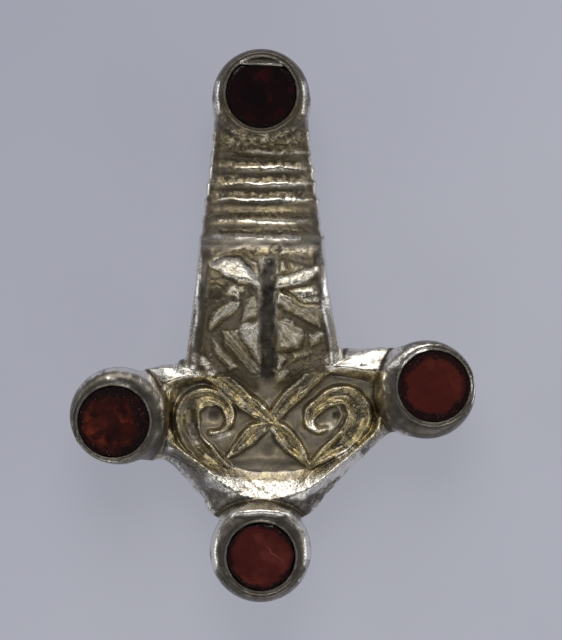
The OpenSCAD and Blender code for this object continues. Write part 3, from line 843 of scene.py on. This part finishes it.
def facing(flat, tris, up=True):
    """Turns each triangle so that it faces up, or down."""
    a, b, c = flat[tris[:, 0]], flat[tris[:, 1]], flat[tris[:, 2]]
    area = (b[:, 0] - a[:, 0]) * (c[:, 1] - a[:, 1]) - (b[:, 1] - a[:, 1]) * (c[:, 0] - a[:, 0])
    tris = tris.copy()
    wrong = (area < 0) == up
    tris[wrong] = tris[wrong][:, ::-1]
    return tris


def strip(upper, lower):
    """Triangles between two rings of the same number of points."""
    up, low = np.roll(upper, -1), np.roll(lower, -1)
    return np.concatenate([np.column_stack([upper, up, lower]), np.column_stack([up, low, lower])])


def back_height(x, y):
    on_strap = sheet.read(face.strap, x, y) > -.35
    return np.where(on_strap & (y > -3.4), underside(y), BACK)


def casting():
    """The brooch's front, outer wall, seats and back as one closed mesh."""
    flat, tris = face_mesh()
    z = face_z(*flat.T)
    n = len(outline)
    back_at = back_height(*outline.T)
    top_at = np.maximum(z[:n], back_at + .55)
    z[:n] = top_at
    verts, faces = [np.column_stack([flat, z])], [facing(flat, tris)]
    count = len(flat)
    # the wall round the outline, with rounded edges
    gy, gx = np.gradient(inset_grid, sheet.step)
    normal = -np.column_stack([sheet.read(gx, *outline.T), sheet.read(gy, *outline.T)])
    normal /= np.maximum(np.hypot(*normal.T), 1e-6)[:, None]
    upper = np.arange(n)
    for share, out in WALL:
        verts.append(np.column_stack([outline + normal * out, back_at + (top_at - back_at) * share]))
        lower = count + np.arange(n)
        faces.append(strip(upper, lower))
        upper, count = lower, count + n
    # walls and floors of the four seats
    for at in SETTINGS.values():
        start = circle(at, at.r + RINGS[0])[0]
        last = np.argmin(np.hypot(*(flat - start).T)) + np.arange(RING_POINTS)
        levels = [(at.r + .03, SETTING_TOP - .25), (at.r + .02, SEAT)]
        levels += [(at.r * share, SEAT) for share in (.8, .5, .2)]
        for r, level in levels:
            verts.append(np.column_stack([circle(at, r), np.full(RING_POINTS, level)]))
            new = count + np.arange(RING_POINTS)
            faces.append(strip(last, new))
            last, count = new, count + RING_POINTS
        verts.append(np.array([[at.x, at.y, SEAT]]))
        faces.append(np.column_stack([last, np.roll(last, -1), np.full(RING_POINTS, count)]))
        count += 1
    # the back
    p = hex_points(BACK_SPACING)
    p = p[sheet.read(inset_grid, *p.T) > .5]
    flat, tris = triangulate(np.concatenate([outline + normal * WALL[-1][1], p]), ring_edges(0, n))
    tris = tris[sheet.read(inset_grid, *flat[tris].mean(1).T) > .10]
    low = back_height(*flat.T) + noises(*flat.T, BACK_WAVES)
    low[:n] = back_at
    index = np.arange(len(flat)) + count
    index[:n] = upper
    verts.append(np.column_stack([flat, low]))
    faces.append(index[facing(flat, tris, False)])
    return np.concatenate(verts), np.concatenate(faces)


# The lugs and the catch behind the brooch, as in the part's source
PIN_X = -0.9
LUG_Y = -13.6
LUG_T = 1.3
LUG_GAP = 7.4
LUG_R = 1.6
CATCH_Y = 16.2
CATCH_LEN = 5.0
CATCH_HALF = 1.55
CATCH_T = .80
CATCH_FLOOR = .55
INTO_BACK = BACK + .25


def stacked(rings):
    """A closed solid through rings of the same number of points, with a face at each end."""
    n = len(rings[0])
    faces = []
    for k in range(len(rings) - 1):
        faces += strip(np.arange(n) + k * n, np.arange(n) + (k + 1) * n).tolist()
    faces += [list(range(n))[::-1], [(len(rings) - 1) * n + i for i in range(n)]]
    return np.concatenate(rings), faces


def swept(profile, start, end, axis):
    """A closed profile of two coordinates, drawn out along an axis with its ends rounded off."""
    p = np.asarray(profile, float)
    middle = p.mean(0)
    ends = ((0, .90), (.10, .98), (.25, 1))
    levels = [(start + d, share) for d, share in ends] + [(end - d, share) for d, share in ends[::-1]]
    rings = []
    for at, share in levels:
        q = middle + (p - middle) * share
        columns = [q[:, 0], q[:, 1]]
        columns.insert(axis, np.full(len(p), at))
        rings.append(np.column_stack(columns))
    return stacked(rings)


def lug_profile():
    arc = []
    for a in np.linspace(math.pi, 2 * math.pi, 17):
        arc.append((LUG_Y + LUG_R * math.cos(a), LUG_R + LUG_R * math.sin(a)))
    return arc + [(LUG_Y + 1.9, 3.2), (LUG_Y + 2.4, INTO_BACK), (LUG_Y - 1.9, INTO_BACK),
                  (LUG_Y - 1.65, 3.2)]


def catch_profile():
    """A hook, seen along the brooch: down from the back, under the pin and up again."""
    x0, x1 = PIN_X - CATCH_HALF, PIN_X + CATCH_HALF
    outer = [(x1, INTO_BACK), (x1, .45), (x1 - .12, .12), (x1 - .45, 0), (x0 + .45, 0), (x0 + .12, .12),
             (x0, .45)]
    tip = [(x0 + .02, 1.9), (x0 + .2, 2.08), (x0 + .6, 2.08), (x0 + .78, 1.9)]
    inner = [(x0 + CATCH_T, CATCH_FLOOR + .2), (x0 + CATCH_T + .2, CATCH_FLOOR),
             (x1 - CATCH_T - .2, CATCH_FLOOR), (x1 - CATCH_T, CATCH_FLOOR + .2), (x1 - CATCH_T, INTO_BACK)]
    return outer + tip + inner


def ledge():
    """The small silver ledge that fills the setting of the foot beyond its stone's straight side."""
    at = SETTINGS["foot"]
    r = at.r + .03
    start = math.atan2(CUT_Y - at.y, math.sqrt(r ** 2 - (CUT_Y - at.y) ** 2))
    turns = np.linspace(start, math.pi - start, 17)
    arc = np.stack([at.x + r * np.cos(turns), at.y + r * np.sin(turns)], 1)
    arc[[0, -1], 1] += CUT_LEAN * (arc[[0, -1], 0] - at.x)
    top = SETTING_TOP - .10
    middle = arc.mean(0)
    rings = []
    for z, share, lean in [(SEAT, 1, 0), (top - .12, 1, .28), (top, .97, .28)]:
        ring = middle + (arc - middle) * share
        rings.append(np.column_stack([ring, z - lean * (ring[:, 1] - CUT_Y)]))
    return stacked(rings)


def added_parts():
    """The ledge, the two lugs and the catch."""
    parts = [ledge()]
    for side in (-1, 1):
        x = PIN_X + side * (LUG_GAP + LUG_T) / 2
        parts.append(swept(lug_profile(), x - LUG_T / 2, x + LUG_T / 2, 0))
    parts.append(swept(catch_profile(), CATCH_Y, CATCH_Y + CATCH_LEN, 1))
    return parts


def build_body():
    verts, faces = casting()
    faces = [list(f) for f in faces]
    for v, f in added_parts():
        faces += [[i + len(verts) for i in corners] for corners in f]
        verts = np.concatenate([verts, v])
    made = mesh_object("casting", verts, faces)
    bm = bmesh.new()
    bm.from_mesh(made.data)
    bmesh.ops.delete(bm, geom=[v for v in bm.verts if not v.link_faces], context="VERTS")
    bmesh.ops.recalc_face_normals(bm, faces=bm.faces)
    bm.to_mesh(made.data)
    bm.free()
    co = np.zeros(len(made.data.vertices) * 3)
    made.data.vertices.foreach_get("co", co)
    x, y, z = co.reshape(-1, 3).T / MM
    front = z > sheet.read(height, x, y) - .2
    # each value of the front, and what it is behind
    painted = {"wear_and_shade": (wear_and_shade_grid, 0), "rubbed_and_highlit": (rubbed_and_highlit_grid, 0), "gild": (gild_grid, .1),
               "dark": (dark_grid, .5), "rough": (rough, .3), "ground": (on.ground, 0),
               "cut": (face.cut * 10, 0)}
    for name, (grid, behind) in painted.items():
        attribute(made.data, name, np.where(front, sheet.read(grid, x, y), behind))
    attribute(made.data, "stroke", np.where(front, sheet.nearest(face.stroke, x, y), 0))
    return made


body = build_body()

# Colours of the metal, from clean to dirty, some also used for painted shade
PALE_SILVER = (.88, .85, .80)
PALE_GILT = (.86, .76, .52)
SILVER = (.60, .56, .50)
DULL_SILVER = (.38, .35, .31)
GILT = (.66, .54, .29)
DULL_GILT = (.30, .235, .10)
BROWN_GILT = (.20, .148, .068)
STROKE_DIRT = (.11, .083, .045)
HOLLOW_GRIME_AND_SHADE = (.075, .056, .030)
GRIME = (.070, .055, .030)
SOOT_AND_SHADE = (.066, .054, .042)
BLACK = (.014, .011, .009)


class Nodes:
    """Short calls for building a material. A colour is three numbers."""

    def __init__(self, name):
        self.material = bpy.data.materials.new(name)
        self.material.use_nodes = True
        self.tree = self.material.node_tree
        self.shader = self.tree.nodes["Principled BSDF"]
        self.place = self.add("ShaderNodeTexCoord").outputs["Object"]

    def add(self, kind, inputs=(), **settings):
        node = self.tree.nodes.new(kind)
        for key, value in settings.items():
            setattr(node, key, value)
        for key, value in dict(inputs).items():
            self.put(node.inputs[key], value)
        return node

    def put(self, socket, value):
        if isinstance(value, bpy.types.NodeSocket):
            self.tree.links.new(value, socket)
        elif socket.type == "RGBA":
            socket.default_value = (*value, 1)
        else:
            socket.default_value = value

    def set(self, name, value):
        self.put(self.shader.inputs[name], value)

    def math(self, how, a, b=0.0, clamp=False):
        return self.add("ShaderNodeMath", {0: a, 1: b}, operation=how, use_clamp=clamp).outputs[0]

    def plus(self, a, b):
        return self.math("ADD", a, b)

    def minus(self, a, b, clamp=False):
        return self.math("SUBTRACT", a, b, clamp)

    def times(self, a, b, clamp=False):
        return self.math("MULTIPLY", a, b, clamp)

    def mix(self, share, a, b, how="MIX"):
        node = self.add("ShaderNodeMix", data_type="RGBA", blend_type=how)
        for index, value in ((0, share), (6, a), (7, b)):
            self.put(node.inputs[index], value)
        return node.outputs[2]

    def spread(self, value, low, high, to_low=0.0, to_high=1.0):
        node = self.add("ShaderNodeMapRange", {0: value, 1: low, 2: high, 3: to_low, 4: to_high})
        return node.outputs[0]

    def noise(self, scale, detail=4.0, rough=.55, place=None, output="Fac"):
        at = self.place if place is None else place
        inputs = {"Vector": at, "Scale": scale, "Detail": detail, "Roughness": rough}
        return self.add("ShaderNodeTexNoise", inputs).outputs[output]

    def moved(self, x, y, scale=(1, 1, 1)):
        """Places counted from a point of the brooch, given in millimetres."""
        inputs = {"Vector": self.place, "Location": (-x * MM, -y * MM, 0), "Scale": scale}
        return self.add("ShaderNodeMapping", inputs).outputs[0]

    def value(self, name):
        return self.add("ShaderNodeAttribute", attribute_name=name).outputs["Fac"]

    def bump(self, height, strength, distance, under=None):
        node = self.add("ShaderNodeBump", {"Height": height, "Strength": strength, "Distance": distance})
        if under is not None:
            self.put(node.inputs["Normal"], under)
        return node.outputs[0]


def silver_gilt():
    """Worn cast silver, with gilding, grime, soot, painted shade and painted highlights by the values
    painted on the mesh.
    """
    n = Nodes("silver_gilt")
    names = ("wear_and_shade", "rubbed_and_highlit", "gild", "rough", "dark", "ground", "cut", "stroke")
    wear_and_shade, rubbed_and_highlit, gild, rough, dark, ground, cut, stroke = (n.value(name) for name in names)
    patch = n.noise(900, 3)
    fine = n.noise(4200, 4, .6)
    grain = n.noise(11000, 3, .6)
    # gilding is left where it is sunk, bare silver where it stands out or is rubbed; pale specks and pale
    # rubbed places are also painted glints and highlights
    standing = n.plus(wear_and_shade, n.times(n.minus(fine, .5), 1.8))
    flecks_and_glints = n.times(n.minus(grain, .5), n.times(rough, 2.2))
    standing = n.plus(standing, n.plus(flecks_and_glints, n.times(rubbed_and_highlit, .4)))
    bare_and_highlit = n.spread(n.plus(standing, n.times(rubbed_and_highlit, .6)), .30, .9)
    sunk = n.spread(standing, -.12, -.80)
    gilt_here = n.times(gild, n.spread(patch, .30, .60, .6, 1), True)
    silver = n.mix(n.spread(fine, .3, .7), SILVER, DULL_SILVER)
    gilt = n.mix(n.spread(fine, .35, .65), GILT, DULL_GILT)
    gilt = n.mix(n.spread(patch, .56, .38), gilt, BROWN_GILT)
    metal = n.mix(gilt_here, silver, gilt)
    pits = n.math("MAXIMUM", n.spread(fine, .47, .37), n.spread(grain, .44, .34))
    metal = n.mix(n.times(pits, n.times(rough, .85), True), metal, GRIME)
    # soot and tarnish by the dark values, which also carry painted shade
    black = n.spread(dark, .85, 1.0)
    soot_and_shade = n.mix(black, SOOT_AND_SHADE, BLACK)
    metal = n.mix(n.times(dark, n.spread(patch, .3, .7, .8, 1.05), True), metal, soot_and_shade)
    pale = n.mix(n.times(gild, .8), PALE_SILVER, PALE_GILT)
    metal = n.mix(bare_and_highlit, metal, pale)
    # sunk places get grime and painted shade in the hollows
    metal = n.mix(n.times(sunk, .85), metal, HOLLOW_GRIME_AND_SHADE)
    # strokes cut across the blades of the bow: ridges with dirt between them
    place = n.add("ShaderNodeCombineXYZ", {0: stroke, 1: n.times(patch, .6)}).outputs[0]
    strokes = n.spread(n.noise(3.4, 2, .5, place), .40, .60)
    ridges = n.times(strokes, n.times(cut, 1.2), True)
    between = n.times(n.minus(1.0, strokes), n.times(cut, 1.8), True)
    metal = n.mix(n.times(ridges, .5), metal, pale)
    metal = n.mix(n.times(between, .6), metal, STROKE_DIRT)
    n.set("Base Color", metal)
    # the dark film is less of a mirror than clean metal
    film = n.times(n.times(dark, .3), n.minus(1.0, bare_and_highlit))
    n.set("Metallic", n.minus(1.0, film, True))
    n.set("Specular IOR Level", .25)
    shine = n.spread(grain, .3, .7, .14, .24)
    for share, amount in ((dark, .10), (black, .30), (gild, .08), (ground, .32), (cut, .16)):
        shine = n.plus(shine, n.times(share, amount))
    n.set("Roughness", n.minus(shine, n.times(bare_and_highlit, .04), True))
    under = n.bump(n.plus(n.times(fine, rough), n.times(grain, .35)), .6, .00012)
    n.set("Normal", n.bump(n.times(strokes, cut), .8, .00008, under))
    return n.material


# Colours of the stones' painted dark edge, chips with painted glints, and cracks
EDGE_RED = (.010, .003, .003)
CHIP_AND_GLINT = (.42, .31, .29)
CRACK = (.42, .16, .12)


def garnet_material(name, deep, lit, flare, cells, lit_at, crack):
    """Garnet: clouded red, brighter inner flats that are painted reflections, a dark edge of painted shade
    with chips and painted glints, and perhaps a crack.

    The colours are the cloud's two and the flats' one, and cells is how many flats there are to a
    metre. In millimetres, lit_at is the lit middle's x, y and radius, and crack is its x and y,
    its turn in radians and its half length."""
    n = Nodes(name)
    cloud = n.noise(500, 4, .6)
    colour = n.mix(n.spread(cloud, .35, .65), deep, lit)
    # the inner flats, painted reflections inside the stone, have wavering, soft edges
    bent = n.mix(.0006, n.place, n.noise(1400, 3, .5, output="Color"), "ADD")
    flats = n.add("ShaderNodeTexVoronoi", {"Vector": bent, "Scale": cells}, feature="SMOOTH_F1")
    n.put(flats.inputs["Smoothness"], .15)
    split = n.add("ShaderNodeSeparateColor", {"Color": flats.outputs["Color"]})
    share = n.times(n.spread(split.outputs[0], .55, .85), n.spread(cloud, .42, .62))
    colour = n.mix(share, colour, flare)
    if crack:
        x, y, turn, half = crack
        half *= MM
        spun = n.add("ShaderNodeMapping", {"Vector": n.moved(x, y), "Rotation": (0, 0, -turn)})
        axes = n.add("ShaderNodeSeparateXYZ", {"Vector": spun.outputs[0]}).outputs
        off = n.math("ABSOLUTE", n.plus(axes[1], n.times(n.minus(n.noise(1500, 2), .5), .0006)))
        along = n.spread(n.math("ABSOLUTE", axes[0]), half, half * .7)
        line = n.times(n.spread(off, .00005, .00001), along)
        colour = n.mix(n.times(line, .7), colour, CRACK)
    # painted shade beyond the lit middle, with a wavering edge
    x, y, radius = lit_at
    length = n.add("ShaderNodeVectorMath", {0: n.moved(x, y, (1, 1, 0))}, operation="LENGTH")
    far = n.plus(length.outputs["Value"], n.times(n.minus(n.noise(800, 3), .5), .0018))
    beyond = n.spread(far, (radius - .25) * MM, (radius + .10) * MM)
    edge = n.math("MAXIMUM", n.value("edge"), beyond)
    colour = n.mix(n.times(edge, .88), colour, EDGE_RED)
    # chipped spots near the edge, with painted glints
    chips_and_glints = n.times(n.spread(n.noise(6500, 2), .66, .72), edge)
    colour = n.mix(n.times(chips_and_glints, .55), colour, CHIP_AND_GLINT)
    n.set("Base Color", colour)
    n.set("Transmission Weight", .3)
    n.set("IOR", 1.6)
    n.set("Specular IOR Level", .35)
    n.set("Coat Weight", .2)
    n.set("Roughness", n.spread(n.noise(2500, 4), .3, .7, .06, .16))
    n.set("Normal", n.bump(n.noise(1800, 3), .15, .0001))
    return n.material


def iron_material():
    n = Nodes("old_iron")
    rust = n.noise(2600, 5, .65)
    n.set("Base Color", n.mix(n.spread(rust, .35, .65), (.055, .045, .038), (.17, .10, .06)))
    n.set("Metallic", .7)
    n.set("Roughness", n.spread(rust, .3, .7, .45, .8))
    n.set("Normal", n.bump(rust, .6, .0001))
    return n.material


def floor_material():
    """Pale paper lit from below, with painted shade making it a little darker towards the upper left."""
    n = Nodes("lit_paper")
    colour = n.mix(n.noise(60, 2), (.147, .150, .172), (.153, .156, .179))
    axes = n.add("ShaderNodeSeparateXYZ", {0: n.place}).outputs
    colour = n.mix(n.spread(n.minus(axes[1], axes[0]), -.01, .06), colour, (.128, .131, .156))
    n.set("Base Color", colour)
    n.set("Emission Color", colour)
    n.set("Emission Strength", 2.0)
    n.set("Roughness", .9)
    n.set("Normal", n.bump(n.noise(3000, 3), .05, .0001))
    return n.material


def dress(obj, material):
    obj.data.materials.clear()
    obj.data.materials.append(material)


dress(body, silver_gilt())
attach(body, "root")
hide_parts("brooch_body")

# Stones: facets, width and drop of the bevel, how uneven it is, and what garnet_material takes
STONES = {
    "foot": (20, .40, .08, .25, (.005, .001, .0015), (.012, .0015, .002), (.038, .003, .004), 700,
             (-1.15, 22.95, 3.1), None),
    "left": (16, 1.05, .10, .30, (.022, .004, .003), (.064, .010, .006), (.185, .031, .013), 680,
             (-16.10, -9.75, 2.75), (-13.1, -8.75, -.96, 1.4)),
    "right": (24, .75, .08, .15, (.084, .011, .008), (.110, .017, .011), (.145, .026, .015), 300,
              (16.10, -6.00, 2.90), None),
    "head": (12, .45, .07, .45, (.078, .011, .009), (.112, .018, .013), (.160, .030, .022), 350,
             (-1.10, -22.85, 3.00), (.25, -22.75, -.70, 1.3)),
}


def stone(key):
    """A garnet slab: a flat table, bevelled facets round it and a cut girdle."""
    facets, bevel, drop, wobble, *looks = STONES[key]
    at = SETTINGS[key]
    rng = np.random.default_rng(len(key) * 7 + facets)
    a = (np.arange(facets) + rng.uniform(-.3, .3, facets)) * 2 * math.pi / facets
    table_r = at.r - bevel * (1 + wobble * rng.uniform(-1, 1, facets))
    loops = [(at.r * .995, SEAT + .02), (at.r, SEAT + .3), (at.r, STONE_TOP - drop), (table_r, STONE_TOP)]
    verts = []
    for radius, z in loops:
        x, y = at.x + radius * np.cos(a), at.y + radius * np.sin(a)
        verts.append(np.column_stack([x, y, np.full(facets, z)]))
    verts = np.concatenate(verts)
    if key == "foot":
        verts[:, 1] = np.minimum(verts[:, 1], CUT_Y - .04 + CUT_LEAN * (verts[:, 0] - at.x))
    faces = [tuple(range(facets))[::-1], tuple(3 * facets + i for i in range(facets))]
    for low in range(0, 3 * facets, facets):
        for i in range(facets):
            j = (i + 1) % facets
            faces.append((low + i, low + j, low + facets + j, low + facets + i))
    made = mesh_object("stone_" + key, verts, faces, False)
    attribute(made.data, "edge", np.repeat((1, 1, 1, 0), facets))
    dress(made, garnet_material("garnet_" + key, *looks))
    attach(made, "root")
    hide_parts("garnet_" + key)


for key in STONES:
    stone(key)

iron = iron_material()
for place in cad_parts["pin"].material_slots:
    place.material = iron

# Floor and camera, straight above the middle of the photograph
FLOOR_HALF = 600
DISTANCE = .5
SENSOR = 36
VIEW_HEIGHT = PHOTO_H * PIXEL * MM
middle_x, middle_y = spot((PHOTO_W / 2, PHOTO_H / 2)) * MM
target = Vector((middle_x, middle_y, BACK * MM))

camera_data = bpy.data.cameras.new("camera")
camera_data.sensor_width = SENSOR
camera_data.lens = SENSOR * DISTANCE / VIEW_HEIGHT
camera_data.clip_start = .01
camera_data.clip_end = 10
camera = bpy.data.objects.new("camera", camera_data)
camera.location = target + Vector((0, 0, DISTANCE))
bpy.context.scene.collection.objects.link(camera)
bpy.context.scene.camera = camera

corners = [(x * FLOOR_HALF, y * FLOOR_HALF, 0) for x, y in ((-1, -1), (1, -1), (1, 1), (-1, 1))]
floor = mesh_object("floor", corners, [(0, 1, 2, 3)], False)
dress(floor, floor_material())

# Soft lights: bearing and height in degrees, distance, size, brightness as it is seen, and colour
LIGHTS = {
    "top_light": (92, 45, .5, (.36, .34), 3.4, (1, .98, .94)),
    "fill_light": (-90, 29, .5, (.44, .36), 1.15, (.98, .98, 1)),
    "left_strip": (178, 26, .45, (.44, .14), 2.4, (.96, .98, 1)),
    "right_strip": (2, 26, .45, (.44, .16), 2.8, (.96, .98, 1)),
}
for name, (turn, rise, distance, (wide, tall), glow, colour) in LIGHTS.items():
    a, b = math.radians(turn), math.radians(rise)
    way = Vector((math.cos(a) * math.cos(b), math.sin(a) * math.cos(b), math.sin(b)))
    data = bpy.data.lights.new(name, "AREA")
    data.shape = "RECTANGLE"
    data.size = wide
    data.size_y = tall
    data.energy = glow * math.pi * wide * tall
    data.color = colour
    light = bpy.data.objects.new(name, data)
    light.location = target + way * distance
    light.rotation_euler = (-way).to_track_quat("-Z", "Y").to_euler()
    bpy.context.scene.collection.objects.link(light)

world = bpy.data.worlds.new("studio")
bpy.context.scene.world = world
world.use_nodes = True
world.node_tree.nodes["Background"].inputs["Color"].default_value = (.80, .80, .88, 1)
world.node_tree.nodes["Background"].inputs["Strength"].default_value = .08
bpy.context.scene.view_settings.view_transform = "Standard"
